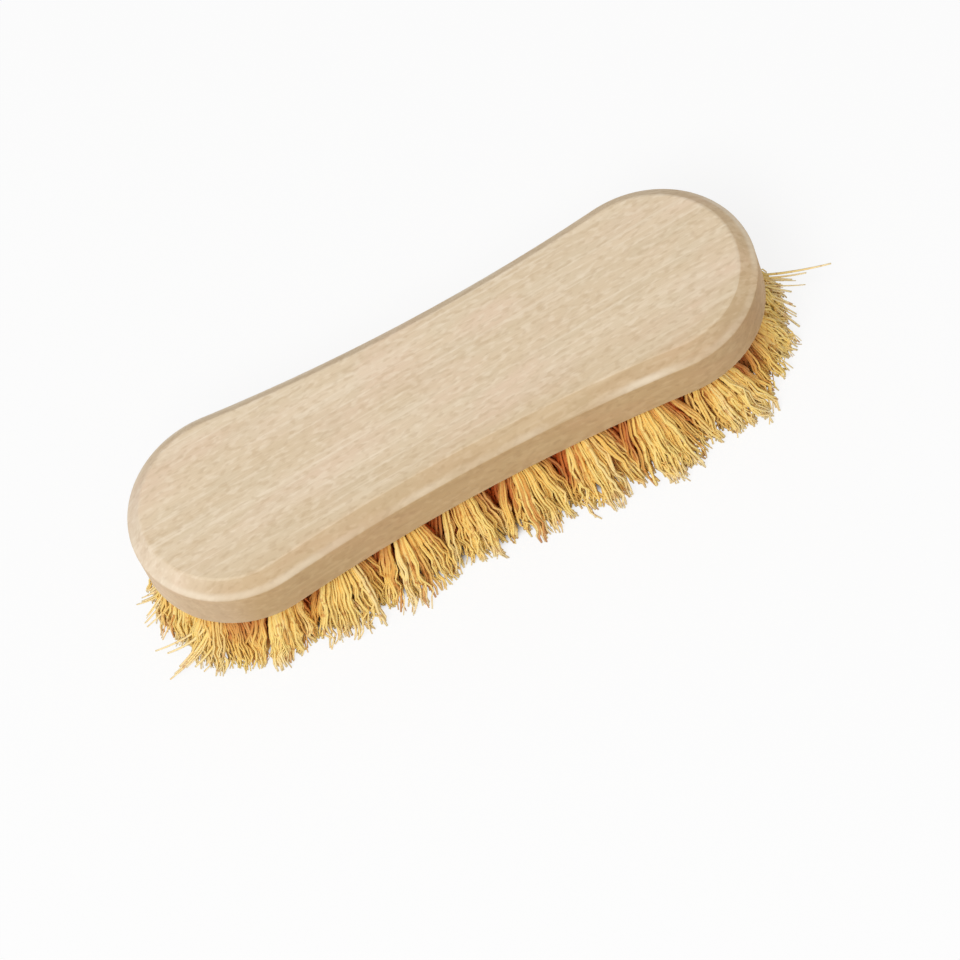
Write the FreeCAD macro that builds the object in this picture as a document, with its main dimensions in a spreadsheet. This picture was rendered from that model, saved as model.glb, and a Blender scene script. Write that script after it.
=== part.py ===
import FreeCAD, Part
import itertools
import math
import os
import Sketcher
from collections import namedtuple

# Driving sizes, in millimetres
size = {
    # Block: overall outline, thickness and worked edges
    "block_length": 200.0,
    "end_width": 63.0,
    "waist_dip": 4.0,
    "block_height": 19.0,
    "top_chamfer": 4.7,
    "top_round": 1.2,
    "rim_round": 0.5,
    "foot_round": 0.7,
    # Bristles: trimmed length below the block and how far the outermost tips lean out
    "bristle_length": 27.0,
    "side_lean": 7.0,
    "end_lean": 7.0,
    "tuft_gap": 0.6,
    # Drilling: blind holes set in from the edge, with wood left above them
    "edge_margin": 9.0,
    "hole_diameter": 7.0,
    "wood_over_hole": 6.5,
    "drill_point": 1.6,
    "tuft_clearance": 0.15,
    # Anchor: flat wire that each tuft is folded over, its ends driven into the wood
    "fold_height": 3.0,
    "anchor_height": 2.0,
    "anchor_thickness": 0.5,
    "anchor_bite": 1.2,
    # How far every cutting tool runs past what it cuts
    "cut_overrun": 2.0,
}

# Tufts in each long side of the edge row, corners included, and round each end between the sides
SIDE_TUFTS = 8
END_TUFTS = 3

# The inner rows lie at this share of the way from the centre line to the edge row
INNER_ROW_SHARE = 0.5

# Edges count as level with a height when they are within this share of it
LEVEL_SHARE = 1e-6

UP = FreeCAD.Vector(0, 0, 1)

# Outline of the block: two round ends joined by long hollow sides, tangent where they meet
size["end_radius"] = size["end_width"] / 2
size["end_centre"] = size["block_length"] / 2 - size["end_radius"]
half_waist = size["end_radius"] - size["waist_dip"]
size["waist_radius"] = (
    size["end_centre"] ** 2 + half_waist ** 2 - size["end_radius"] ** 2
) / (2 * size["waist_dip"])
size["waist_centre"] = half_waist + size["waist_radius"]
end_to_waist = size["end_radius"] + size["waist_radius"]

# Edge row of tufts: the same outline, set in by the edge margin
row_end_radius = size["end_radius"] - size["edge_margin"]
row_waist_radius = size["waist_radius"] + size["edge_margin"]
row_tangent_place = size["end_centre"] * row_waist_radius / end_to_waist
tuft_pitch = 2 * size["end_centre"] / (SIDE_TUFTS - 1)


def edge_row_half_width(place):
    """Half the width of the edge row at a place along the block."""
    if abs(place) > row_tangent_place:
        past_centre = abs(place) - size["end_centre"]
        return math.sqrt(row_end_radius ** 2 - past_centre ** 2)
    return size["waist_centre"] - math.sqrt(row_waist_radius ** 2 - place ** 2)


def evenly_spaced(count, pitch):
    """Places of a row of tufts, centred on the middle of the block."""
    return [pitch * (i - (count - 1) / 2) for i in range(count)]


# Where a tuft's hole opens and where its bristles end, along and across the block, whether it fans
# out as on a side or as round an end, and the angle that its row makes with the block's length there
Tuft = namedtuple("Tuft", "row mouth tip fan row_angle")

# Tips spread out along the block in proportion to their place, so the end tufts lean most
end_spread = 1 + size["end_lean"] / (size["end_centre"] + row_end_radius)


def make_tuft(row, along, across, lean_share, fan="side", row_angle=0):
    """One tuft of a row, leaning outwards from its mouth, sideways by a share of the side lean."""
    tip = (along * end_spread, across + lean_share * size["side_lean"])
    return Tuft(row, (along, across), tip, fan, row_angle)


def make_tufts():
    """Every tuft by name: the edge row with its ends, two staggered inner rows and the centre row."""
    side_places = evenly_spaced(SIDE_TUFTS, tuft_pitch)
    inner_places = evenly_spaced(SIDE_TUFTS - 1, tuft_pitch)
    end_angles = evenly_spaced(END_TUFTS, math.pi / (END_TUFTS + 1))
    made = []
    for side in (-1, 1):
        for place in side_places:
            fan = "end" if place in (side_places[0], side_places[-1]) else "side"
            made.append(make_tuft("edge", place, side * edge_row_half_width(place), side, fan))
        for angle in end_angles:
            along = side * (size["end_centre"] + row_end_radius * math.cos(angle))
            lean_share = side * math.sin(angle)
            across = lean_share * row_end_radius
            made.append(make_tuft("edge", along, across, lean_share, "end", angle + math.pi / 2))
        for place in inner_places:
            lean_share = side * INNER_ROW_SHARE
            made.append(make_tuft("inner", place, lean_share * edge_row_half_width(place), lean_share))
    made += [make_tuft("centre", place, 0, 0) for place in side_places]
    named = {}
    for row in ("edge", "inner", "centre"):
        members = [tuft for tuft in made if tuft.row == row]
        for number, tuft in enumerate(members, start=1):
            named[f"{row}_tuft_{number:02d}"] = tuft
    return named


tufts = make_tufts()
steepest_lean = max(
    math.atan(math.dist(tuft.mouth, tuft.tip) / size["bristle_length"]) for tuft in tufts.values()
)


def fan_half_sizes():
    """Half the length along the row of a side tuft's and an end tuft's oval tip, and half their width,
    clear of the neighbours."""
    pairs = list(itertools.combinations(tufts.values(), 2))
    half_lengths = {}
    for fan in ("side", "end"):
        half_lengths[fan] = min(
            (math.dist(first.tip, second.tip) - size["tuft_gap"]) / 2
            for first, second in pairs
            if fan in (first.fan, second.fan)
            and (first.row == second.row or first.row_angle != second.row_angle)
        )
    half_width = min(half_lengths.values())
    for first, second in pairs:
        along = first.tip[0] - second.tip[0]
        across = first.tip[1] - second.tip[1]
        reach = half_lengths[first.fan] + half_lengths[second.fan]
        overlap_share = 1 - (along / reach) ** 2
        if first.row != second.row and first.row_angle == second.row_angle and overlap_share > 0:
            room = abs(across) / (2 * math.sqrt(overlap_share))
            half_width = min(half_width, room - size["tuft_gap"] / 2)
    return half_lengths, half_width


# Hole, measured down its own axis from the drill's point to its mouth
size["hole_radius"] = size["hole_diameter"] / 2
size["hole_depth"] = size["block_height"] - size["wood_over_hole"]
size["drill_reach"] = (
    size["hole_depth"] + size["hole_radius"] * math.tan(steepest_lean) + size["cut_overrun"]
)

# Tuft, on the hole's axis: folded root, straight throat just past the mouth, then the flare
size["root_radius"] = size["hole_radius"] - size["tuft_clearance"]
size["root_shoulder"] = size["drill_point"] + size["tuft_clearance"]
throat = size["hole_radius"] * math.tan(steepest_lean) + size["tuft_clearance"]
fan_half_lengths, fan_half_width = fan_half_sizes()
size["throat_end"] = size["hole_depth"] + throat
size["untrimmed_end"] = (
    size["hole_depth"]
    + size["bristle_length"] / math.cos(steepest_lean)
    + max(fan_half_lengths.values()) * math.tan(steepest_lean)
    + size["cut_overrun"]
)
flare = (size["untrimmed_end"] - size["throat_end"]) / (size["bristle_length"] - throat)
for name, half_size in {**fan_half_lengths, "across": fan_half_width}.items():
    level_half_size = half_size * math.cos(steepest_lean)
    size[f"{name}_fan"] = size["root_radius"] + flare * (level_half_size - size["root_radius"])

# Anchor: longer than the hole is wide, so that both ends bite into the wood
size["anchor_length"] = size["hole_diameter"] + 2 * size["anchor_bite"]
size["slot_thickness"] = size["anchor_thickness"] + 2 * size["tuft_clearance"]
size["slot_height"] = size["anchor_height"] + size["tuft_clearance"]

doc = FreeCAD.newDocument("scrub_brush")
sheet = doc.addObject("Spreadsheet::Sheet", "sizes")
for row, (alias, value) in enumerate(size.items(), start=1):
    sheet.set(f"A{row}", alias)
    sheet.set(f"B{row}", f"{value}")
    sheet.setAlias(f"B{row}", alias)
doc.recompute()


def bind(item, **formulas):
    """Tie properties to cells of the sheet; a double underscore stands for a dot."""
    for name, formula in formulas.items():
        item.setExpression(name.replace("__", "."), formula)


def attached_sketch(body, name, plane_role):
    """A sketch on one of the body's own origin planes."""
    plane = next(item for item in body.Origin.OriginFeatures if item.Role == plane_role)
    sketch = body.newObject("Sketcher::SketchObject", name)
    sketch.AttachmentSupport = [(plane, "")]
    sketch.MapMode = "FlatFace"
    return sketch


def bound_constraint(sketch, formula, *constraint):
    """A dimension of a sketch that follows the sheet."""
    index = sketch.addConstraint(Sketcher.Constraint(*constraint))
    sketch.setExpression(f"Constraints[{index}]", formula)


def turned_body(name, outline):
    """A solid of revolution about Z from corners given as cells for radius and height."""
    body = doc.addObject("PartDesign::Body", name)
    sketch = attached_sketch(body, f"{name}_section", "XZ_Plane")
    corners = [FreeCAD.Vector(size.get(out, 0), size.get(up, 0), 0) for out, up in outline]
    for start, end in zip(corners, corners[1:] + corners[:1]):
        sketch.addGeometry(Part.LineSegment(start, end), False)
    for edge, (out, up) in enumerate(outline):
        before = (edge - 1) % len(outline)
        sketch.addConstraint(Sketcher.Constraint("Coincident", before, 2, edge, 1))
        if out is None:
            sketch.addConstraint(Sketcher.Constraint("PointOnObject", edge, 1, -2))
        else:
            bound_constraint(sketch, f"sizes.{out}", "DistanceX", -1, 1, edge, 1, size[out])
        if up is None:
            sketch.addConstraint(Sketcher.Constraint("PointOnObject", edge, 1, -1))
        else:
            bound_constraint(sketch, f"sizes.{up}", "DistanceY", -1, 1, edge, 1, size[up])
    turn = body.newObject("PartDesign::Revolution", f"{name}_turn")
    turn.Profile = sketch
    turn.ReferenceAxis = (sketch, ["V_Axis"])
    turn.Angle = 360
    sketch.Visibility = False
    return body


def block_outline(body):
    """Plan of the block: two end arcs and two waist arcs, tangent at all four joints."""
    sketch = attached_sketch(body, "block_plan", "XY_Plane")
    bind(sketch, AttachmentOffset__Base__z="sizes.bristle_length")
    turn = math.atan2(size["waist_centre"], -size["end_centre"])
    lean = math.atan2(size["end_centre"], size["waist_centre"])
    end_at = FreeCAD.Vector(size["end_centre"], 0, 0)
    waist_at = FreeCAD.Vector(0, size["waist_centre"], 0)
    right, left, far, near = range(4)
    arcs = (
        (end_at, size["end_radius"], -turn, turn),
        (-end_at, size["end_radius"], math.pi - turn, math.pi + turn),
        (waist_at, size["waist_radius"], -math.pi / 2 - lean, -math.pi / 2 + lean),
        (-waist_at, size["waist_radius"], math.pi / 2 - lean, math.pi / 2 + lean),
    )
    for centre, radius, start, end in arcs:
        sketch.addGeometry(Part.ArcOfCircle(Part.Circle(centre, UP, radius), start, end), False)
    for first, first_end, second, second_end in (
        (right, 2, far, 2), (left, 1, far, 1), (left, 2, near, 2), (right, 1, near, 1),
    ):
        sketch.addConstraint(Sketcher.Constraint("Tangent", first, first_end, second, second_end))
    sketch.addConstraint(Sketcher.Constraint("PointOnObject", right, 3, -1))
    sketch.addConstraint(Sketcher.Constraint("Symmetric", right, 3, left, 3, -1, 1))
    sketch.addConstraint(Sketcher.Constraint("Equal", right, left))
    sketch.addConstraint(Sketcher.Constraint("Equal", far, near))
    bound_constraint(sketch, "sizes.end_centre", "DistanceX", -1, 1, right, 3, size["end_centre"])
    bound_constraint(sketch, "sizes.end_radius", "Radius", right, size["end_radius"])
    bound_constraint(sketch, "sizes.waist_radius", "Radius", far, size["waist_radius"])
    return sketch


def edges_at(shape, height):
    """Names of the edges that lie flat at one height."""
    names = []
    for number, edge in enumerate(shape.Edges, start=1):
        ends = (edge.BoundBox.ZMin, edge.BoundBox.ZMax)
        if all(math.isclose(end, height, rel_tol=LEVEL_SHARE) for end in ends):
            names.append(f"Edge{number}")
    return names


def dress_edges(body, kind, name, base, height, formula):
    """A chamfer or fillet round all the edges at one height."""
    doc.recompute()
    feature = body.newObject(f"PartDesign::{kind}", name)
    feature.Base = (base, edges_at(base.Shape, height))
    bind(feature, **{"Size" if kind == "Chamfer" else "Radius": formula})
    return feature


def undrilled_block():
    """The wooden block before drilling, with a wide chamfer round its top."""
    underside = size["bristle_length"]
    top = underside + size["block_height"]
    body = doc.addObject("PartDesign::Body", "undrilled_block")
    plan = block_outline(body)
    pad = body.newObject("PartDesign::Pad", "block_pad")
    pad.Profile = plan
    bind(pad, Length="sizes.block_height")
    chamfer = dress_edges(body, "Chamfer", "top_chamfer", pad, top, "sizes.top_chamfer")
    top_round = dress_edges(body, "Fillet", "top_round", chamfer, top, "sizes.top_round")
    rim = top - size["top_chamfer"]
    rim_round = dress_edges(body, "Fillet", "rim_round", top_round, rim, "sizes.rim_round")
    dress_edges(body, "Fillet", "foot_round", rim_round, underside, "sizes.foot_round")
    return body


def cross_wire(name, thickness, length, height):
    """A flat bar across the hole's axis, just under the fold."""
    bar = doc.addObject("Part::Box", name)
    bind(
        bar,
        Length=f"sizes.{thickness}",
        Width=f"sizes.{length}",
        Height=f"sizes.{height}",
        Placement__Base__x=f"-sizes.{thickness} / 2",
        Placement__Base__y=f"-sizes.{length} / 2",
        Placement__Base__z="sizes.fold_height",
    )
    return bar


def cut(name, base, tool):
    """One solid with another taken away."""
    result = doc.addObject("Part::Cut", name)
    result.Base = base
    result.Tool = tool
    return result


def placed_copies(name, originals):
    """A copy of the solid for its fan on every tuft's axis, from the bottom of its hole to its tip."""
    copies = []
    for number, tuft in enumerate(tufts.values(), start=1):
        mouth = FreeCAD.Vector(*tuft.mouth, size["bristle_length"])
        axis = FreeCAD.Vector(*tuft.tip, 0) - mouth
        axis.normalize()
        along_row = FreeCAD.Vector(math.cos(tuft.row_angle), math.sin(tuft.row_angle), 0)
        copy = doc.addObject("App::Link", f"{name}_{number:02d}")
        copy.LinkedObject = originals[tuft.fan]
        copy.LinkTransform = True
        turn = FreeCAD.Rotation(along_row, UP.cross(along_row), axis, "ZXY")
        copy.Placement = FreeCAD.Placement(mouth - axis * size["hole_depth"], turn)
        copies.append(copy)
    return copies


def group(name, members):
    """Separate solids kept together under one name."""
    compound = doc.addObject("Part::Compound", name)
    compound.Links = members
    return compound


# Anchors: all alike, each lying across its row
anchor = cross_wire("anchor", "anchor_thickness", "anchor_length", "anchor_height")
anchors = group("tuft_anchors", placed_copies("anchor", {"side": anchor, "end": anchor}))

# Block: drilled along every tuft's axis, then bitten by the ends of the anchors
drill = turned_body("drill", [
    (None, None),
    ("hole_radius", "drill_point"),
    ("hole_radius", "drill_reach"),
    (None, "drill_reach"),
])
holes = group("holes", placed_copies("hole", {"side": drill, "end": drill}))
drilled_block = cut("drilled_block", undrilled_block(), holes)
block = cut("wood_block", drilled_block, anchors)

# Tufts: folded bundles that fan out along their row, away from both sides of their anchor,
# slotted for the anchor and trimmed level where the bristles end
root = turned_body("tuft_root", [
    (None, "tuft_clearance"),
    ("root_radius", "root_shoulder"),
    ("root_radius", "throat_end"),
    (None, "throat_end"),
])
throat_rim = doc.addObject("Part::Circle", "throat_rim")
bind(throat_rim, Radius="sizes.root_radius", Placement__Base__z="sizes.throat_end")
slot = cross_wire("anchor_slot", "slot_thickness", "anchor_length", "slot_height")


def folded_bundle(fan):
    """A bundle folded over its anchor, fanned out to the oval of a side or an end tuft."""
    tip_rim = doc.addObject("Part::Ellipse", f"{fan}_tip_rim")
    bind(
        tip_rim,
        MajorRadius=f"sizes.{fan}_fan",
        MinorRadius="sizes.across_fan",
        Placement__Base__z="sizes.untrimmed_end",
    )
    flared = doc.addObject("Part::Loft", f"{fan}_flare")
    flared.Sections = [throat_rim, tip_rim]
    flared.Solid = True
    flared.Ruled = True
    bundle = doc.addObject("Part::Fuse", f"{fan}_bundle")
    bundle.Base = root
    bundle.Tool = flared
    return cut(f"folded_{fan}_bundle", bundle, slot)


bundles = {fan: folded_bundle(fan) for fan in fan_half_lengths}
trim = doc.addObject("Part::Box", "bristle_trim")
bind(
    trim,
    Length="2 * sizes.block_length",
    Width="2 * sizes.block_length",
    Height="sizes.bristle_length",
    Placement__Base__x="-sizes.block_length",
    Placement__Base__y="-sizes.block_length",
    Placement__Base__z="-sizes.bristle_length",
)
bundle_copies = placed_copies("bundle_copy", bundles)
trimmed_tufts = [cut(name, copy, trim) for name, copy in zip(tufts, bundle_copies)]

doc.recompute()
for item in doc.Objects:
    if "Invalid" in item.State or "Error" in item.State:
        raise RuntimeError(f"{item.Label} failed to build")

# Each piece is checked, then written under its own name
pieces = [block, anchors] + trimmed_tufts
for piece in pieces:
    if piece.Shape.isNull() or not piece.Shape.isValid():
        raise RuntimeError(f"{piece.Label} has no valid shape")
os.makedirs("parts", exist_ok=True)
for piece in pieces:
    piece.Shape.exportStep(f"parts/{piece.Label}.step")
    print(piece.Label, len(piece.Shape.Solids), round(piece.Shape.Volume, 1))
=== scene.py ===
import math
from collections import namedtuple

import bpy
import numpy as np
from mathutils import Matrix, Vector


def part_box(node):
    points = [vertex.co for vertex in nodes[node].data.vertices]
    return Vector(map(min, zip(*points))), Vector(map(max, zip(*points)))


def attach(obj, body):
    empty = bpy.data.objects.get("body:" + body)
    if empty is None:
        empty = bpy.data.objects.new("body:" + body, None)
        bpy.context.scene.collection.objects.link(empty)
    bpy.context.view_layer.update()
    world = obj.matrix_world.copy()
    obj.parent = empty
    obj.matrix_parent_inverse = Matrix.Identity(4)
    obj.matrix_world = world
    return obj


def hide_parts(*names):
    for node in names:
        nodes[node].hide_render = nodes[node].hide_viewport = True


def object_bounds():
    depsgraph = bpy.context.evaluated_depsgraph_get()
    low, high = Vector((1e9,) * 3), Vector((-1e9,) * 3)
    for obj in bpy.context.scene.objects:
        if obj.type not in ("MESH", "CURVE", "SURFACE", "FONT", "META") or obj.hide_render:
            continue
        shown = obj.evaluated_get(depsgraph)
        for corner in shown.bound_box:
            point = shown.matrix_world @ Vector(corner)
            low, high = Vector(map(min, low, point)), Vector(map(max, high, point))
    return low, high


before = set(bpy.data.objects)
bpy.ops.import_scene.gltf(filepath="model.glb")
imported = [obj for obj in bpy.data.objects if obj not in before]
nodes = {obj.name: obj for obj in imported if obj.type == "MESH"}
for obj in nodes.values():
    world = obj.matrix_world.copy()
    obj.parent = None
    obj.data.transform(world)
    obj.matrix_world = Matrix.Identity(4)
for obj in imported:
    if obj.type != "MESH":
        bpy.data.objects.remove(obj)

cad_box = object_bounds()

MM = 0.001
block_low, block_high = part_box("wood_block")

# Worked edges of the block, and the tuft where it sits in its hole, as in the CAD model
TOP_CHAMFER = 4.7 * MM
RIM_HEIGHT = block_high.z - TOP_CHAMFER
BUNDLE_RADIUS = 3.35 * MM
FOLD_HEIGHT = 3.0 * MM
# Points this near to a CAD tuft's lowest are its trimmed end, whose span is taken every few degrees
TRIM_LEVEL = 0.01 * MM
SPAN_STEP = 3

# Viewpoint: a long lens from above the near side, rolled so that the brush lies aslant
VIEW_AZIMUTH = math.radians(-4.60)
VIEW_ELEVATION = math.radians(58.93)
VIEW_ROLL = math.radians(24.10)
VIEW_DISTANCE = 1457.5 * MM
VIEW_REACH = 10 * VIEW_DISTANCE
VIEW_LENS = 187.5
# Where the middle of the block's underside shows, from the middle of the image
CENTRE_LEFT = 7.97 * MM
CENTRE_ABOVE = 18.49 * MM

# Light on a level surface: the even light of the room and one large soft lamp add up to one
ROOM_LIGHT = 0.42
LAMP_LIGHT = 0.58
LAMP_DISTANCE = 2.5
LAMP_SIZE = 1.4
LAMP_TOWARDS = Vector((-0.40, -0.55, 1.0)).normalized()
# The floor gives back most light, and shows white to the camera but for a share of its shadow,
# which is whole under the brush and fades towards the edge of an oblong about it
FLOOR_PALENESS = 0.9
FLOOR_WHITE_SHARE = 0.84
SHADE_LENGTH = 0.98 * block_high.x
SHADE_WIDTH = block_high.y
SHADE_FADES_FROM = 0.5
FLOOR_RADIUS = 4.0
FLOOR_SIDES = 96

# Beech: the grain runs nearly along the block. Each layer of its figure has its run along, width across
# and depth into the grain in mm, its detail, the range over which it comes in, its reach on the faces and
# on the ends, and its tone. Lines and flecks are drawn two to three times as coarse as real ones, so that
# they show.
GRAIN_SLOPE = math.radians(2.5)
Figure = namedtuple("Figure", "run width depth detail low high on_faces on_ends tone")
BEECH_FIGURE = (
    Figure(170, 8.0, 8.0, 2.0, 0.30, 0.70, 0.50, 0.50, "D9C3A2"),  # broad darker bands
    Figure(30, 14.0, 14.0, 1.0, 0.45, 0.70, 0.45, 0.45, "E8CBB2"),  # pinkish clouds
    Figure(12, 6.0, 6.0, 1.0, 0.42, 0.68, 0.28, 0.28, "DBCBAE"),  # greyer mottling
    Figure(90, 5.0, 7.5, 1.0, 0.48, 0.68, 0.35, 0.20, "F0DFC4"),  # broad paler streaks
    Figure(70, 1.8, 2.7, 1.0, 0.45, 0.70, 0.24, 0.10, "D0B793"),  # fine darker lines
    Figure(60, 1.4, 2.1, 1.0, 0.58, 0.72, 0.35, 0.10, "F6E7D0"),  # fine pale lines
    Figure(3.6, 1.5, 2.2, 1.0, 0.48, 0.70, 0.42, 0.25, "F3E2C9"),  # pale flecks
    Figure(3.0, 1.3, 1.9, 1.0, 0.50, 0.72, 0.36, 0.25, "C6AA85"),  # dark flecks
    Figure(30, 20.0, 1.4, 2.0, 0.45, 0.65, 0.00, 0.55, "C9AD88"),  # growth rings, seen on the ends alone
)
# How squarely a surface faces along the grain where it starts to show, and shows fully, as an end
END_GRAIN_FROM = 0.75
END_GRAIN_FULL = 0.98
# From where to where across the block the near edge turns to heartwood
HEARTWOOD_FROM = -10 * MM
HEARTWOOD_FULL = -30 * MM
# How far a surface faces sideways on a chamfer, upwards on the wall, and endwise on the left end, for the
# painted shade on the chamfers, the right end and the wall, and the painted light on the left end
CHAMFER_SHADE_FROM = 0.30
CHAMFER_SHADE_FULL = 0.65
WALL_SHADE_FROM = 0.60
WALL_SHADE_FULL = 0.10
LEFT_END_LIGHT_FROM = -0.15
LEFT_END_LIGHT_FULL = -0.60
# Painted highlights along the edges: the height and spread of the pale band on each, how near its middle
# it is whole, the size of the patches in which the highlight comes and goes, and its reach
EDGE_HIGHLIGHTS = ((RIM_HEIGHT + 0.8 * MM, 1.3 * MM), (block_low.z, 0.7 * MM))
EDGE_HIGHLIGHT_MIDDLE = 0.1 * MM
EDGE_HIGHLIGHT_PATCH = 30 * MM
EDGE_HIGHLIGHT_REACH = 0.6
# Open pores are drawn about five times as wide as the real ones of 0.1 mm, so that they show
PORE_LENGTH = 12 * MM
PORE_WIDTH = 0.5 * MM
PORE_DEPTH = 0.3 * MM

# Blotches and flecks of bark on the root fibre
BLOTCH_SIZE = 2.5 * MM
BLOTCH_DEPTH = 0.2 * MM
# Roll marks on the anchor wire, drawn coarser than the real ones, so that they show
ROLL_MARK = 0.3 * MM

# Root fibre: strands folded double over the wire, so each has two legs, which cling together in locks.
# The strands are rather fewer and thicker than the real ones of about 0.5 mm, and those of the tufts away
# from the edge are fewer and stouter still, as little of them is seen.
EDGE_LOCKS = 33
INNER_LOCKS = 16
STRANDS_IN_LOCK = 6
STRAND_RADIUS = 0.44 * MM
INNER_STOUTNESS = 1.25
STRAND_SIDES = 4
# The thinnest and the stoutest strands, as shares of the usual thickness
STRAND_STOUTNESS = (0.6, 1.35)
# Thickness at the root and at the tip as a share of the full one, and how far down it is full
ROOT_TAPER_SHARE = 0.6
TIP_TAPER_SHARE = 0.55
FULL_THICKNESS_AT = 0.3
# Rings of points along each leg and over the fold
LEG_STEPS = 13
FOLD_STEPS = 5
# The middles of the strands keep this far inside the bundle in the hole
HOLE_FIT = 0.35 * MM
# A lock's share of the bundle, its radius further down, and how much of that closes up at the tip
LOCK_ROOT_SHARE = 0.25
LOCK_RADIUS = 1.7 * MM
LOCK_CLOSING_SHARE = 0.5
# Places are scattered by turning on by the golden share of a whole turn, and locks crowd to the rim
GOLDEN_SHARE = 0.618034
RIM_CROWDING_POWER = 0.33
# The legs from the two sides of the wire stray over the middle, so that the tuft doesn't part there
HALF_OVERLAP = 1.2
# Legs spread soonest just below the hole
FLARE_POWER = 0.45
# Each leg sways in a long and a short wave, given as shares of the length and sway of a kink. A strand
# has its lock's sway and a share as much of its own.
KINK_WAVES = (1.0, 0.45)
KINK_LENGTH = 10 * MM
KINK_LENGTH_SPREAD = (0.8, 1.5)
KINK_SWAY = 0.8 * MM
KINK_SWAY_SPREAD = (0.3, 1.0)
STRAND_SWAY_SHARE = 0.5
# How far the tips of locks scatter, and how unevenly the strands are trimmed
TIP_SCATTER = 1.0 * MM
TRIM_UNEVEN = 1.3 * MM
# This share of the strands leave their lock, sway wider and cross their neighbours
WANDERING_SHARE = 0.25
WANDER_SWAY = 3.0
# How far the strands reach beyond the CAD tuft, along and across the row
SIDE_FULLNESS = (1.42, 1.26)
END_FULLNESS = (1.25, 0.8)
INNER_FULLNESS = (1.6, 1.6)
# Tufts further out than this along the brush are its ends
ENDS_FROM = 70 * MM
# Tips on the near side and the ends have set askew in use: how far along and across the brush, in mm
SET_ASIDE = {
    "edge_tuft_01": (0, 3.2),
    "edge_tuft_02": (0, 2.4),
    "edge_tuft_03": (0, -0.2),
    "edge_tuft_04": (0, 1.6),
    "edge_tuft_06": (0, -2.0),
    "edge_tuft_07": (0, -3.2),
    "edge_tuft_08": (1.2, 0.2),
    "edge_tuft_11": (1.0, 2.0),
    "edge_tuft_20": (1.0, 3.4),
}

# The tone of a strand is in part its lock's and otherwise its own
LOCK_TONE_SHARE = 0.6
# Strands whose tips reach the rim of the brush are golden from the root, and those inside get painted
# shade, red brown further down
GOLDEN_ROOT = 0.25
RIM_SHARE = 0.97
RIM_FADE_SHARE = 0.25
INNER_SHADE_DARKENING = 5.0
# Painted shade: strands in the core of a tuft, within this share of its outline, stay red brown further
# down too
CORE_SHARE = 0.9
CORE_SHADE_DARKENING = 9.0

# Loose locks at the ends, by the tuft that they come from: the place of the tip in mm, and the strands
STRAYS = {
    "edge_tuft_10": [((-107, 6, 9), 12), ((-109.2, 0, 5), 12)],
    "edge_tuft_11": [((-109, -11.2, 6), 4), ((-108.4, -18.5, 2), 14)],
    "edge_tuft_21": [
        ((119.8, -10.2, 17.5), 3), ((110.4, -3.3, 6), 9), ((106.5, -4.9, 6), 9), ((105.8, -9.2, 5), 6),
        ((104.8, -10.6, 2), 12), ((103.2, -13.6, 2), 12),
    ],
}
# They start part way down the hole, part and close up again, and end one short of the other
STRAY_START_SHARE = 0.5
STRAY_STEPS = 2 * LEG_STEPS
STRAY_APART = 1.2 * MM
STRAY_CLOSING = 0.8 * math.pi
STRAY_SHORTEST = 0.6
STRAY_TONES = (0.5, 0.9)


def linear(colour):
    """Linear colour from an sRGB hex value."""
    channels = [int(colour[i:i + 2], 16) / 255 for i in (0, 2, 4)]
    return [c / 12.92 if c <= 0.04045 else ((c + 0.055) / 1.055) ** 2.4 for c in channels] + [1.0]


def add_node(tree, kind, settings, inputs):
    """Add one node, set its properties, and fill or link its inputs."""
    made = tree.nodes.new(kind)
    for name, value in settings.items():
        setattr(made, name, value)
    for socket, value in inputs.items():
        if isinstance(value, bpy.types.NodeSocket):
            tree.links.new(value, made.inputs[socket])
        else:
            made.inputs[socket].default_value = value
    return made


def new_material(name):
    """An empty material and its node tree."""
    material = bpy.data.materials.new(name)
    material.use_nodes = True
    material.node_tree.nodes.clear()
    return material, material.node_tree


def washed(tree, colour, washes, blend="MIX"):
    """A colour with others washed over it, each coming in from low to high of its value, up to a reach."""
    for value, low, high, reach, tone in washes:
        amount = add_node(tree, "ShaderNodeMapRange", {"interpolation_type": "SMOOTHSTEP"}, {
            "Value": value, "From Min": low, "From Max": high, "To Max": reach,
        })
        colour = add_node(tree, "ShaderNodeMix", {"data_type": "RGBA", "blend_type": blend}, {
            0: amount.outputs[0], 6: colour, 7: linear(tone),
        }).outputs[2]
    return colour


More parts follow.
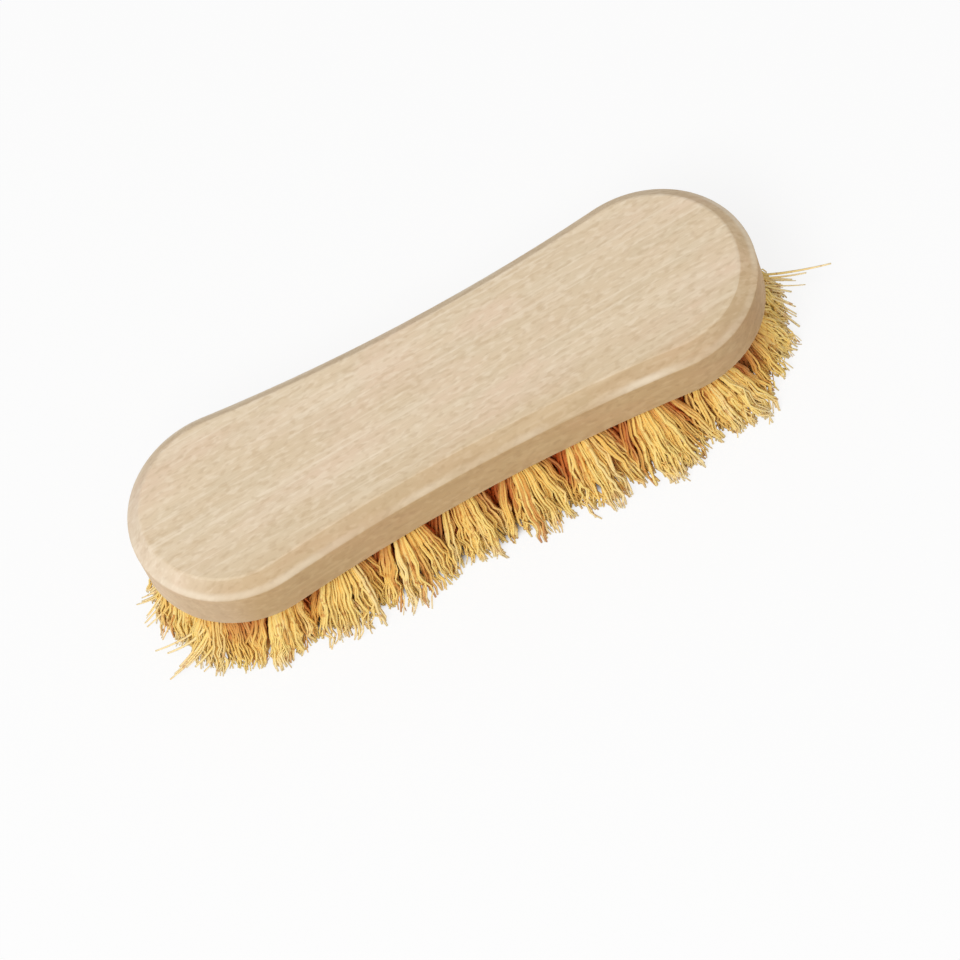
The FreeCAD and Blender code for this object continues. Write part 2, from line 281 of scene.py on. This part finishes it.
def beech():
    """Planed and sanded beech, left bare: pale pinkish straw, softly mottled, with fine lines and faint
    paler streaks along the grain, short flecks and growth rings across the ends; painted shade darkens the
    chamfers, the right end and the wall, painted light makes the left end paler, and painted highlights
    run along the edges."""
    material, tree = new_material("beech_planed_bare")
    surroundings = add_node(tree, "ShaderNodeTexCoord", {}, {}).outputs
    place = surroundings["Object"]
    at = add_node(tree, "ShaderNodeSeparateXYZ", {}, {0: place}).outputs
    facing = add_node(tree, "ShaderNodeSeparateXYZ", {}, {0: surroundings["Normal"]}).outputs
    endwise = add_node(tree, "ShaderNodeMath", {"operation": "ABSOLUTE"}, {0: facing["X"]})

    layers = []
    for figure in BEECH_FIGURE:
        stretched = add_node(tree, "ShaderNodeMapping", {"vector_type": "TEXTURE"}, {
            "Vector": place,
            "Rotation": (0, 0, GRAIN_SLOPE),
            "Scale": (figure.run * MM, figure.width * MM, figure.depth * MM),
        })
        noise = add_node(tree, "ShaderNodeTexNoise", {}, {
            "Vector": stretched.outputs[0], "Scale": 1.0, "Detail": figure.detail,
        })
        reach = add_node(tree, "ShaderNodeMapRange", {"interpolation_type": "SMOOTHSTEP"}, {
            "Value": endwise.outputs[0], "From Min": END_GRAIN_FROM, "From Max": END_GRAIN_FULL,
            "To Min": figure.on_faces, "To Max": figure.on_ends,
        })
        layers.append((noise.outputs[0], figure.low, figure.high, reach.outputs[0], figure.tone))
    colour = washed(tree, linear("E4CEAF"), layers)
    # Heartwood, then painted shade on the near and far chamfers, the right end and the wall, by how each
    # faces
    colour = washed(tree, colour, (
        (at["Y"], HEARTWOOD_FROM, HEARTWOOD_FULL, 1.0, "F1ECE2"),
        (facing["Y"], -CHAMFER_SHADE_FROM, -CHAMFER_SHADE_FULL, 1.0, "ECE5DA"),
        (facing["Y"], CHAMFER_SHADE_FROM, CHAMFER_SHADE_FULL, 1.0, "FAF3E8"),
        (facing["X"], CHAMFER_SHADE_FROM, CHAMFER_SHADE_FULL, 1.0, "F7EDDD"),
        (facing["Z"], WALL_SHADE_FROM, WALL_SHADE_FULL, 1.0, "F7ECD7"),
    ), "MULTIPLY")
    # Painted light: the faces turned to the left, towards the lamp, are washed a little pinker and paler
    # than the sides
    colour = washed(tree, colour, ((facing["X"], LEFT_END_LIGHT_FROM, LEFT_END_LIGHT_FULL, 0.14, "F4E4D6"),))
    # Painted highlights: pale bands along the edges, coming and going in patches
    highlight_patches = add_node(tree, "ShaderNodeTexNoise", {}, {
        "Vector": place, "Scale": 1 / EDGE_HIGHLIGHT_PATCH, "Detail": 2.0,
    })
    highlight_amount = add_node(tree, "ShaderNodeMapRange", {}, {
        "Value": highlight_patches.outputs[0], "From Min": 0.35, "From Max": 0.65, "To Max": EDGE_HIGHLIGHT_REACH,
    })
    for edge, spread in EDGE_HIGHLIGHTS:
        off_edge = add_node(tree, "ShaderNodeMath", {"operation": "SUBTRACT"}, {0: at["Z"], 1: edge})
        from_edge = add_node(tree, "ShaderNodeMath", {"operation": "ABSOLUTE"}, {0: off_edge.outputs[0]})
        colour = washed(tree, colour, (
            (from_edge.outputs[0], spread, EDGE_HIGHLIGHT_MIDDLE, highlight_amount.outputs[0], "F4E6CF"),
        ))

    fine = add_node(tree, "ShaderNodeMapping", {"vector_type": "TEXTURE"}, {
        "Vector": place, "Rotation": (0, 0, GRAIN_SLOPE), "Scale": (PORE_LENGTH, PORE_WIDTH, PORE_WIDTH),
    })
    pores = add_node(tree, "ShaderNodeTexNoise", {}, {
        "Vector": fine.outputs[0], "Scale": 1.0, "Detail": 3.0,
    })
    bump = add_node(tree, "ShaderNodeBump", {}, {
        "Height": pores.outputs[0], "Strength": 0.25, "Distance": PORE_DEPTH,
    })
    roughness = add_node(tree, "ShaderNodeMapRange", {}, {
        "Value": pores.outputs[0], "To Min": 0.55, "To Max": 0.7,
    })
    surface = add_node(tree, "ShaderNodeBsdfPrincipled", {}, {
        "Base Color": colour,
        "Roughness": roughness.outputs[0],
        "IOR": 1.5,
        "Normal": bump.outputs[0],
    })
    add_node(tree, "ShaderNodeOutputMaterial", {}, {"Surface": surface.outputs[0]})
    return material


def root_fibre():
    """Washed and cut rice root: dry, slightly waxy strands, deeper gold to red brown where they leave the
    hole, golden along their length and pale straw at the cut tips, blotched and flecked with bark, no two
    alike;
    painted shade carries the red brown further down inside the brush and in the core of each tuft."""
    material, tree = new_material("rice_root_cut")
    along = add_node(tree, "ShaderNodeAttribute", {"attribute_name": "root_to_tip_shaded"}, {}).outputs["Fac"]
    tone = add_node(tree, "ShaderNodeAttribute", {"attribute_name": "strand_tone"}, {}).outputs["Fac"]
    place = add_node(tree, "ShaderNodeTexCoord", {}, {}).outputs["Object"]
    blotch = add_node(tree, "ShaderNodeTexNoise", {}, {
        "Vector": place, "Scale": 1 / BLOTCH_SIZE, "Detail": 2.0,
    }).outputs[0]
    colour = washed(tree, linear("FDDF88"), (
        (along, 0.75, 1.00, 0.75, "FFEBBE"),  # pale cut tips
        (tone, 0.50, 0.90, 0.45, "FFEABA"),  # bleached strands
        (tone, 0.40, 0.05, 0.45, "E6963A"),  # orange strands
        (tone, 0.20, 0.08, 0.45, "B8541A"),  # a few brown strands
        (blotch, 0.50, 0.75, 0.30, "F3B75A"),  # deeper gold in blotches
        (blotch, 0.42, 0.31, 0.50, "B85A1A"),  # flecks of bark
        # The next two washes colour the roots, and, as painted shade, the strands further down inside the
        # brush and in the core of each tuft
        (along, 0.65, 0.25, 0.60, "F6C462"),  # deeper gold towards the root
        (along, 0.30, 0.00, 0.95, "B8420F"),  # red brown at the root
    ))
    bump = add_node(tree, "ShaderNodeBump", {}, {
        "Height": blotch, "Strength": 0.3, "Distance": BLOTCH_DEPTH,
    })
    roughness = add_node(tree, "ShaderNodeMapRange", {}, {"Value": blotch, "To Min": 0.45, "To Max": 0.65})
    surface = add_node(tree, "ShaderNodeBsdfPrincipled", {}, {
        "Base Color": colour,
        "Roughness": roughness.outputs[0],
        "IOR": 1.5,
        "Specular IOR Level": 0.2,
        "Normal": bump.outputs[0],
    })
    add_node(tree, "ShaderNodeOutputMaterial", {}, {"Surface": surface.outputs[0]})
    return material


def anchor_wire():
    """Flat rolled steel wire: bright grey, finely mottled by the rolls."""
    material, tree = new_material("steel_wire_rolled")
    place = add_node(tree, "ShaderNodeTexCoord", {}, {}).outputs["Object"]
    marks = add_node(tree, "ShaderNodeTexNoise", {}, {
        "Vector": place, "Scale": 1 / ROLL_MARK, "Detail": 2.0,
    }).outputs[0]
    roughness = add_node(tree, "ShaderNodeMapRange", {}, {"Value": marks, "To Min": 0.3, "To Max": 0.5})
    surface = add_node(tree, "ShaderNodeBsdfPrincipled", {}, {
        "Base Color": washed(tree, linear("A9A8A5"), ((marks, 0.3, 0.7, 1.0, "C8C8C6"),)),
        "Metallic": 1.0,
        "Roughness": roughness.outputs[0],
    })
    add_node(tree, "ShaderNodeOutputMaterial", {}, {"Surface": surface.outputs[0]})
    return material


def unit(vector):
    """The same direction, one long."""
    return vector / np.linalg.norm(vector, axis=-1, keepdims=True)


class Seat:
    """How one tuft sits: the bottom of its hole, its tip and axis, the directions along and across its
    row, how deep its mouth lies, how many locks it has, how stout its strands are, and how far they fan
    out and are set aside at the tip, from its CAD solid and its row."""

    def __init__(self, node_name):
        points = np.array([vertex.co for vertex in nodes[node_name].data.vertices])
        self.bottom = points[points[:, 2].argmax()]
        trimmed = points[points[:, 2] < points[:, 2].min() + TRIM_LEVEL]
        self.tip = (trimmed.min(0) + trimmed.max(0)) / 2
        self.axis = unit(self.tip - self.bottom)
        angles = np.radians(np.arange(0, 180, SPAN_STEP))
        level = np.stack([np.cos(angles), np.sin(angles), 0 * angles], axis=1)
        spans = np.ptp(trimmed @ level.T, axis=0) / 2
        along = level[spans.argmax()]
        self.across = unit(np.cross(self.axis, along))
        self.along = np.cross(self.across, self.axis)
        self.mouth = (self.bottom[2] - block_low.z) / -self.axis[2]
        fullness = END_FULLNESS if abs(self.tip[0]) > ENDS_FROM else SIDE_FULLNESS
        self.locks, self.stoutness = EDGE_LOCKS, 1.0
        if not node_name.startswith("edge"):
            fullness = INNER_FULLNESS
            self.locks, self.stoutness = INNER_LOCKS, INNER_STOUTNESS
        self.fan = np.array([spans.max(), spans.min()]) * fullness
        self.set_aside = np.array([*SET_ASIDE.get(node_name, (0, 0)), 0]) * MM
        self.aside = np.array([self.set_aside @ self.along, self.set_aside @ self.across])


def disc(rng, count):
    """Evenly scattered places in a disc of radius one."""
    turn = 2 * math.pi * ((np.arange(count) * GOLDEN_SHARE + rng.random()) % 1)
    out = np.sqrt((np.arange(count) + rng.random(count)) / count)
    return np.stack([out * np.cos(turn), out * np.sin(turn)], axis=1)


def half_disc(rng, count):
    """Places in rather more than the right half of a disc of radius one, closer together at its rim."""
    turn = HALF_OVERLAP * math.pi * ((np.arange(count) * GOLDEN_SHARE + rng.random()) % 1 - 0.5)
    out = ((np.arange(count) + rng.random(count)) / count) ** RIM_CROWDING_POWER
    return np.stack([out * np.cos(turn), out * np.sin(turn)], axis=1)


def kinks(rng, count, share, length):
    """Sideways sway of a number of legs: two waves, growing from nothing at the mouth to the tip."""
    sway = np.zeros((count, len(share), 2))
    for part in KINK_WAVES:
        waves = length / (KINK_LENGTH * part * rng.uniform(*KINK_LENGTH_SPREAD, (count, 1, 2)))
        phase = rng.uniform(0, 2 * math.pi, (count, 1, 2))
        size = KINK_SWAY * part * rng.uniform(*KINK_SWAY_SPREAD, (count, 1, 2))
        turn = 2 * math.pi * share[None, :, None] * waves + phase
        sway += size * (np.sin(turn) - np.sin(phase)) * share[None, :, None]
    return sway


def leg_paths(rng, seat, homes, lock, rooted):
    """Paths of the legs on one side of the wire, from the mouth of the hole to the trimmed tip. The
    strands of a lock share its kinks, part below the hole and close up again at the tip."""
    strands = len(lock)
    share = np.linspace(0, 1, LEG_STEPS)
    length = np.linalg.norm(seat.tip - seat.bottom) - seat.mouth
    tips = homes * seat.fan + seat.aside + rng.normal(0, TIP_SCATTER, homes.shape)
    flare = (share ** FLARE_POWER)[None, :, None]
    flat = rooted[:, None] + (tips[lock] - rooted)[:, None] * flare
    flat = flat + kinks(rng, seat.locks, share, length)[lock]
    wander = np.where(rng.random(strands) < WANDERING_SHARE, WANDER_SWAY, 1.0)
    flat = flat + kinks(rng, strands, share, length) * STRAND_SWAY_SHARE * wander[:, None, None]
    parting = np.sqrt(share) * (1 - LOCK_CLOSING_SHARE * share ** 2)
    flat = flat + disc(rng, strands)[:, None] * LOCK_RADIUS * parting[None, :, None]
    cut = np.abs(rng.normal(0, TRIM_UNEVEN / 2, strands)) + STRAND_RADIUS
    rise = flat[:, -1] @ np.array([seat.along[2], seat.across[2]])
    reach = (cut - seat.bottom[2] - rise) / seat.axis[2]
    depth = seat.mouth + share[None] * (reach[:, None] - seat.mouth)
    return np.concatenate([flat, depth[..., None]], axis=2)


def strand_paths(rng, seat, lock):
    """Paths of whole strands in the tuft's own directions: up one leg, over the wire, down the other."""
    radius = BUNDLE_RADIUS - HOLE_FIT
    right_homes = half_disc(rng, seat.locks)
    left_homes = half_disc(rng, seat.locks) * np.array([-1.0, 1.0])
    spread = disc(rng, len(lock)) * LOCK_ROOT_SHARE
    right = (right_homes[lock] * (1 - LOCK_ROOT_SHARE) + spread) * radius
    left = (left_homes[lock] * (1 - LOCK_ROOT_SHARE) + spread) * radius
    arch = []
    for turn in np.linspace(0, math.pi, FOLD_STEPS + 2)[1:-1]:
        side = (1 + np.cos(turn)) / 2
        over = left + (right - left) * side
        lift = FOLD_HEIGHT - np.sin(turn) * (FOLD_HEIGHT - 2 * STRAND_RADIUS) * np.ones((len(lock), 1))
        arch.append(np.concatenate([over, lift], axis=1))
    right_legs = leg_paths(rng, seat, right_homes, lock, right)
    left_legs = leg_paths(rng, seat, left_homes, lock, left)
    return np.concatenate([right_legs[:, ::-1], np.stack(arch, axis=1), left_legs], axis=1)


def stray_paths(rng, seat, strays):
    """Paths of loose strands that leave the hole along its axis and bend away to tips of their own."""
    mouth = seat.bottom + seat.axis * seat.mouth
    in_hole = np.linspace(STRAY_START_SHARE, 1, FOLD_STEPS, endpoint=False)[:, None]
    paths = []
    for tip, strands in strays:
        tip = np.array(tip) * MM
        turn = mouth + seat.axis * np.linalg.norm(tip - mouth) / 2
        for reach in np.linspace(1, STRAY_SHORTEST, strands):
            share = np.linspace(0, reach, STRAY_STEPS)[:, None]
            bend = (1 - share) ** 2 * mouth + 2 * share * (1 - share) * turn + share ** 2 * tip
            apart = rng.normal(0, STRAY_APART, 3) * np.sin(STRAY_CLOSING * np.sqrt(share))
            paths.append(np.concatenate([seat.bottom + (mouth - seat.bottom) * in_hole, bend + apart]))
    return np.array(paths)


def tube_mesh(name, paths, radii, across):
    """One closed tube along each path, with a flat cut at both ends."""
    count, steps = radii.shape
    forward = unit(np.gradient(paths, axis=1))
    first = unit(np.cross(forward, across))
    second = np.cross(forward, first)
    turn = 2 * math.pi * np.arange(STRAND_SIDES) / STRAND_SIDES
    ring = (
        first[:, :, None] * np.cos(turn)[None, None, :, None]
        + second[:, :, None] * np.sin(turn)[None, None, :, None]
    )
    points = paths[:, :, None] + radii[:, :, None, None] * ring
    index = np.arange(count * steps * STRAND_SIDES).reshape(count, steps, STRAND_SIDES)
    turned = np.roll(index, -1, axis=2)
    walls = np.stack([index[:, :-1], turned[:, :-1], turned[:, 1:], index[:, 1:]], axis=-1)
    faces = walls.reshape(-1, 4).tolist()
    faces += index[:, 0, ::-1].tolist() + index[:, -1].tolist()
    mesh = bpy.data.meshes.new(name)
    mesh.from_pydata(points.reshape(-1, 3).tolist(), [], faces)
    mesh.shade_smooth()
    return mesh


def note_on_points(mesh, name, values):
    """A value for each ring of a tube, written on its points for the material to read."""
    attribute = mesh.attributes.new(name, "FLOAT", "POINT")
    attribute.data.foreach_set("value", np.repeat(values.ravel(), STRAND_SIDES).astype(np.float32))


def add_piece(name, mesh, material):
    """A mesh as an object in the scene with one material."""
    piece = bpy.data.objects.new(name, mesh)
    bpy.context.scene.collection.objects.link(piece)
    mesh.materials.append(material)
    return piece


def fibre_tuft(node_name, seed, material):
    """The strands of one tuft, standing for its CAD solid."""
    rng = np.random.default_rng(seed)
    seat = Seat(node_name)
    lock = np.repeat(np.arange(seat.locks), STRANDS_IN_LOCK)
    local = strand_paths(rng, seat, lock)
    paths = seat.bottom + local @ np.stack([seat.along, seat.across, seat.axis])

    # How far each ring lies down its leg, and how deep in the tuft
    below = local[..., 2] - seat.mouth
    drop = np.clip(below / below.max(), 0, 1)
    flare = (drop ** FLARE_POWER)[..., None]
    outline = BUNDLE_RADIUS + (seat.fan - BUNDLE_RADIUS) * flare
    off_axis = np.linalg.norm((local[..., :2] - seat.aside * flare) / outline, axis=2)
    core = np.clip(CORE_SHARE - off_axis, 0, 1)
    tone = LOCK_TONE_SHARE * rng.random(seat.locks)[lock] + (1 - LOCK_TONE_SHARE) * rng.random(len(lock))
    if node_name in STRAYS:
        strays = stray_paths(rng, seat, STRAYS[node_name])
        stray_drop = np.concatenate([np.zeros(FOLD_STEPS), np.linspace(0, 1, STRAY_STEPS)])
        paths = np.concatenate([paths, strays])
        drop = np.concatenate([drop, np.tile(stray_drop, (len(strays), 1))])
        core = np.concatenate([core, np.zeros((len(strays), core.shape[1]))])
        tone = np.concatenate([tone, rng.uniform(*STRAY_TONES, len(strays))])
    thickness = STRAND_RADIUS * seat.stoutness * rng.uniform(*STRAND_STOUTNESS, (len(paths), 1))
    radii = thickness * np.interp(drop, (0, FULL_THICKNESS_AT, 1), (ROOT_TAPER_SHARE, 1, TIP_TAPER_SHARE))
    mesh = tube_mesh(f"{node_name}_fibres", paths, radii, seat.across)

    # Painted shade: the root colour runs down further inside the brush and in the core of the tuft
    tips = paths[:, (0, -1)] - seat.set_aside
    reach = np.abs(tips[..., :2] / np.array(cad_box[1][:2])).max(axis=2)
    inside = np.clip((RIM_SHARE - reach) / RIM_FADE_SHARE, 0, 1)
    inside = np.repeat(inside, (LEG_STEPS, LEG_STEPS + FOLD_STEPS), axis=1)
    golden = GOLDEN_ROOT * (1 - inside) * (1 - core)
    shade_darkening = 1 + INNER_SHADE_DARKENING * inside + CORE_SHADE_DARKENING * core
    note_on_points(mesh, "root_to_tip_shaded", golden + (1 - golden) * drop ** shade_darkening)
    note_on_points(mesh, "strand_tone", np.repeat(tone[:, None], paths.shape[1], axis=1))

    piece = add_piece(f"{node_name}_fibres", mesh, material)
    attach(piece, "root")
    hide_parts(node_name)


def set_camera():
    """A long lens from above the near side, with the block's middle where the photograph has it."""
    back = Vector((
        math.sin(VIEW_AZIMUTH) * math.cos(VIEW_ELEVATION),
        -math.cos(VIEW_AZIMUTH) * math.cos(VIEW_ELEVATION),
        math.sin(VIEW_ELEVATION),
    ))
    level_right = Vector((math.cos(VIEW_AZIMUTH), math.sin(VIEW_AZIMUTH), 0))
    upright = Matrix((level_right, back.cross(level_right), back)).transposed()
    turned = upright @ Matrix.Rotation(-VIEW_ROLL, 3, "Z")
    underside = Vector((0, 0, block_low.z))
    camera = bpy.data.objects.new("camera", bpy.data.cameras.new("camera"))
    camera.data.lens = VIEW_LENS
    camera.data.clip_end = VIEW_REACH
    place = underside + turned @ Vector((CENTRE_LEFT, -CENTRE_ABOVE, VIEW_DISTANCE))
    camera.matrix_world = Matrix.Translation(place) @ turned.to_4x4()
    bpy.context.scene.collection.objects.link(camera)
    bpy.context.scene.camera = camera


def seen_directly(tree):
    """One where the camera, a reflection or a clear body looks straight at the surface."""
    path = add_node(tree, "ShaderNodeLightPath", {}, {})
    either = add_node(tree, "ShaderNodeMath", {"operation": "MAXIMUM"}, {
        0: path.outputs["Is Camera Ray"], 1: path.outputs["Is Glossy Ray"],
    })
    return add_node(tree, "ShaderNodeMath", {"operation": "MAXIMUM"}, {
        0: either.outputs[0], 1: path.outputs["Is Transmission Ray"],
    }).outputs[0]


def set_stage():
    """A pale floor that keeps the shadow, a white room and one large soft lamp."""
    turn = np.linspace(0, 2 * math.pi, FLOOR_SIDES, endpoint=False)
    rim = FLOOR_RADIUS * np.stack([np.cos(turn), np.sin(turn), 0 * turn], axis=1)
    mesh = bpy.data.meshes.new("floor")
    mesh.from_pydata(rim.tolist(), [], [list(range(FLOOR_SIDES))])
    material, tree = new_material("studio_floor_matt")
    white = linear("FFFFFF")
    lit = add_node(tree, "ShaderNodeBsdfDiffuse", {}, {"Color": [FLOOR_PALENESS] * 3 + [1.0]})
    glow = add_node(tree, "ShaderNodeEmission", {}, {"Color": white, "Strength": 1.0})
    # The oblong of whole shadow: the fourth powers of the shares along and across, added up
    spot = add_node(tree, "ShaderNodeMapping", {"vector_type": "TEXTURE"}, {
        "Vector": add_node(tree, "ShaderNodeTexCoord", {}, {}).outputs["Object"],
        "Scale": (SHADE_LENGTH, SHADE_WIDTH, 1),
    }).outputs[0]
    for _ in range(2):
        spot = add_node(tree, "ShaderNodeVectorMath", {"operation": "MULTIPLY"}, {
            0: spot, 1: spot,
        }).outputs[0]
    off_brush = add_node(tree, "ShaderNodeVectorMath", {"operation": "DOT_PRODUCT"}, {
        0: spot, 1: (1, 1, 0),
    })
    white_share = add_node(tree, "ShaderNodeMapRange", {"interpolation_type": "SMOOTHSTEP"}, {
        "Value": off_brush.outputs["Value"], "From Min": SHADE_FADES_FROM, "From Max": 1.0,
        "To Max": FLOOR_WHITE_SHARE,
    })
    whiteness = add_node(tree, "ShaderNodeMath", {"operation": "MULTIPLY"}, {
        0: seen_directly(tree), 1: white_share.outputs[0],
    })
    both = add_node(tree, "ShaderNodeMixShader", {}, {
        0: whiteness.outputs[0], 1: lit.outputs[0], 2: glow.outputs[0],
    })
    add_node(tree, "ShaderNodeOutputMaterial", {}, {"Surface": both.outputs[0]})
    add_piece("floor", mesh, material)

    world = bpy.data.worlds.new("room")
    world.use_nodes = True
    world.node_tree.nodes.clear()
    level = add_node(world.node_tree, "ShaderNodeMapRange", {}, {
        "Value": seen_directly(world.node_tree), "To Min": ROOM_LIGHT, "To Max": 1.0,
    })
    room = add_node(world.node_tree, "ShaderNodeBackground", {}, {
        "Color": white, "Strength": level.outputs[0],
    })
    add_node(world.node_tree, "ShaderNodeOutputWorld", {}, {"Surface": room.outputs[0]})
    bpy.context.scene.world = world

    lamp = bpy.data.objects.new("lamp", bpy.data.lights.new("lamp", "AREA"))
    lamp.data.size = LAMP_SIZE
    lamp.data.energy = LAMP_LIGHT * (math.pi * LAMP_DISTANCE) ** 2 / LAMP_TOWARDS.z
    lamp.location = Vector((0, 0, block_high.z)) + LAMP_TOWARDS * LAMP_DISTANCE
    lamp.rotation_mode = "QUATERNION"
    lamp.rotation_quaternion = LAMP_TOWARDS.to_track_quat("Z", "Y")
    bpy.context.scene.collection.objects.link(lamp)
    bpy.context.scene.view_settings.view_transform = "Standard"


set_camera()
set_stage()

nodes["wood_block"].material_slots[0].material = beech()
nodes["tuft_anchors"].material_slots[0].material = anchor_wire()
fibre = root_fibre()
for seed, node_name in enumerate(sorted(name for name in nodes if "_tuft_" in name)):
    fibre_tuft(node_name, seed, fibre)
